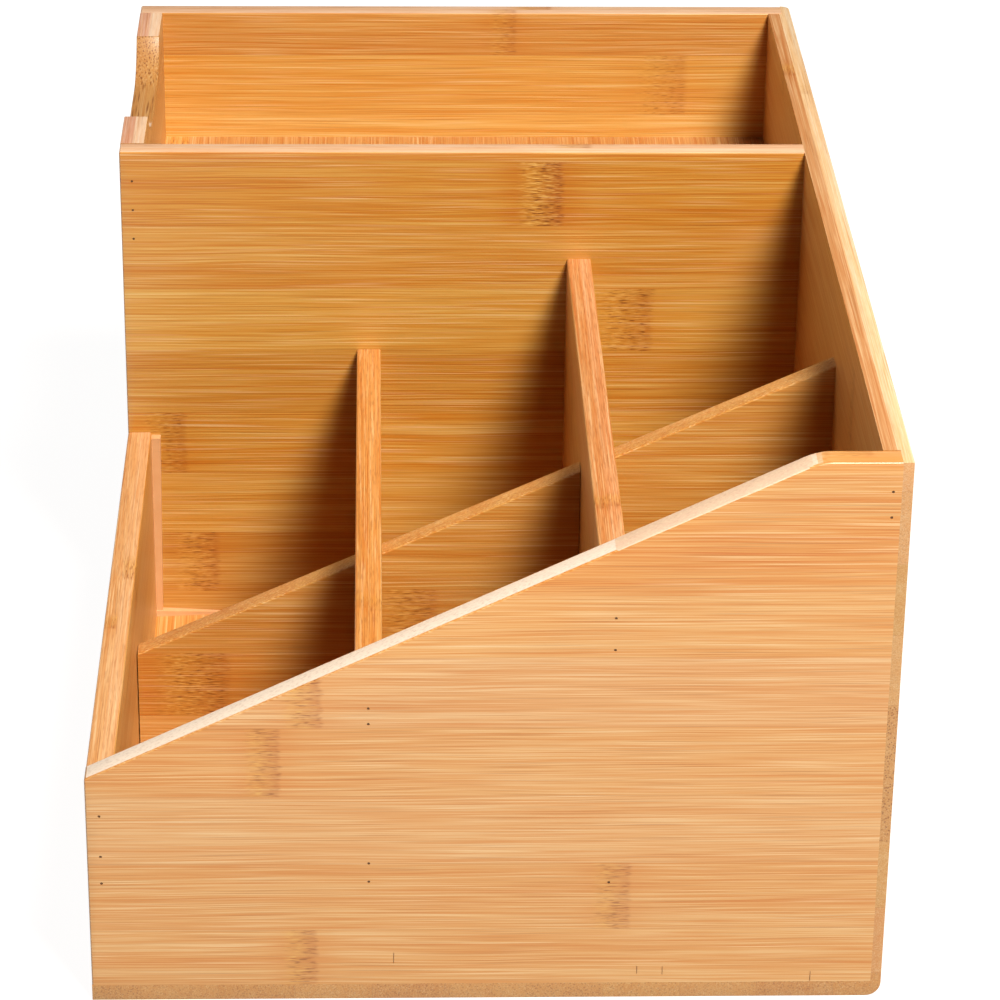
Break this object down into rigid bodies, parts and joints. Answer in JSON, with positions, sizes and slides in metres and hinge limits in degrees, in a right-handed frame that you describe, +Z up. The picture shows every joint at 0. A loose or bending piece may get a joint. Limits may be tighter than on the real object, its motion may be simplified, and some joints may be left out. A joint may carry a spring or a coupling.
{
  "type": "desk organizer",
  "caption": "Bamboo desk organizer with a raised scooped tray over an open cubby beside stepped open cells behind a low front wall and a sloping side.",
  "frame": {"origin": "middle of the footprint on the table, under the bottom board", "axes": "+X along the length, from the tall bay to the sloping side; -Y towards the user, where the front wall is low; +Z up"},
  "size_m": [0.328, 0.205, 0.155],
  "materials": {
    "bamboo": "satin lacquer",
    "pin_steel": "dull"
  },
  "bodies": {
    "root": {"bottom_board": "bamboo", "back_wall": "bamboo", "right_side": "bamboo", "left_end": "bamboo", "bay_divider": "bamboo", "front_wall": "bamboo", "tray_floor": "bamboo", "tray_rail": "bamboo", "cross_divider_front": "bamboo", "cross_divider_back": "bamboo", "long_divider": "bamboo", "pin_side_front_1": "pin_steel", "pin_side_front_2": "pin_steel", "pin_side_front_3": "pin_steel", "pin_side_back_1": "pin_steel", "pin_side_back_2": "pin_steel", "pin_side_cross_front_1": "pin_steel", "pin_side_cross_front_2": "pin_steel", "pin_side_cross_front_3": "pin_steel", "pin_side_cross_front_4": "pin_steel", "pin_side_cross_back_1": "pin_steel", "pin_side_cross_back_2": "pin_steel", "pin_side_cross_back_3": "pin_steel", "pin_bay_rail_1": "pin_steel", "pin_bay_rail_2": "pin_steel", "pin_bay_rail_3": "pin_steel", "pin_end_rail_1": "pin_steel", "pin_end_rail_2": "pin_steel", "pin_end_rail_3": "pin_steel", "pin_end_back_1": "pin_steel", "pin_end_back_2": "pin_steel", "pin_end_back_3": "pin_steel", "pin_end_back_4": "pin_steel", "pin_back_bay_1": "pin_steel", "pin_back_bay_2": "pin_steel", "pin_back_bay_3": "pin_steel", "pin_back_bay_4": "pin_steel", "pin_bottom_side_1": "pin_steel", "pin_bottom_side_2": "pin_steel", "pin_bottom_side_3": "pin_steel", "pin_bottom_end_1": "pin_steel", "pin_bottom_end_2": "pin_steel", "pin_bottom_end_3": "pin_steel", "pin_bottom_bay_1": "pin_steel", "pin_bottom_bay_2": "pin_steel", "pin_bottom_bay_3": "pin_steel", "pin_bottom_front_1": "pin_steel", "pin_bottom_front_2": "pin_steel", "pin_bottom_front_3": "pin_steel", "pin_bottom_back_1": "pin_steel", "pin_bottom_back_2": "pin_steel", "pin_bottom_back_3": "pin_steel", "pin_bottom_back_4": "pin_steel", "pin_bottom_back_5": "pin_steel"}
  },
  "joints": []
}
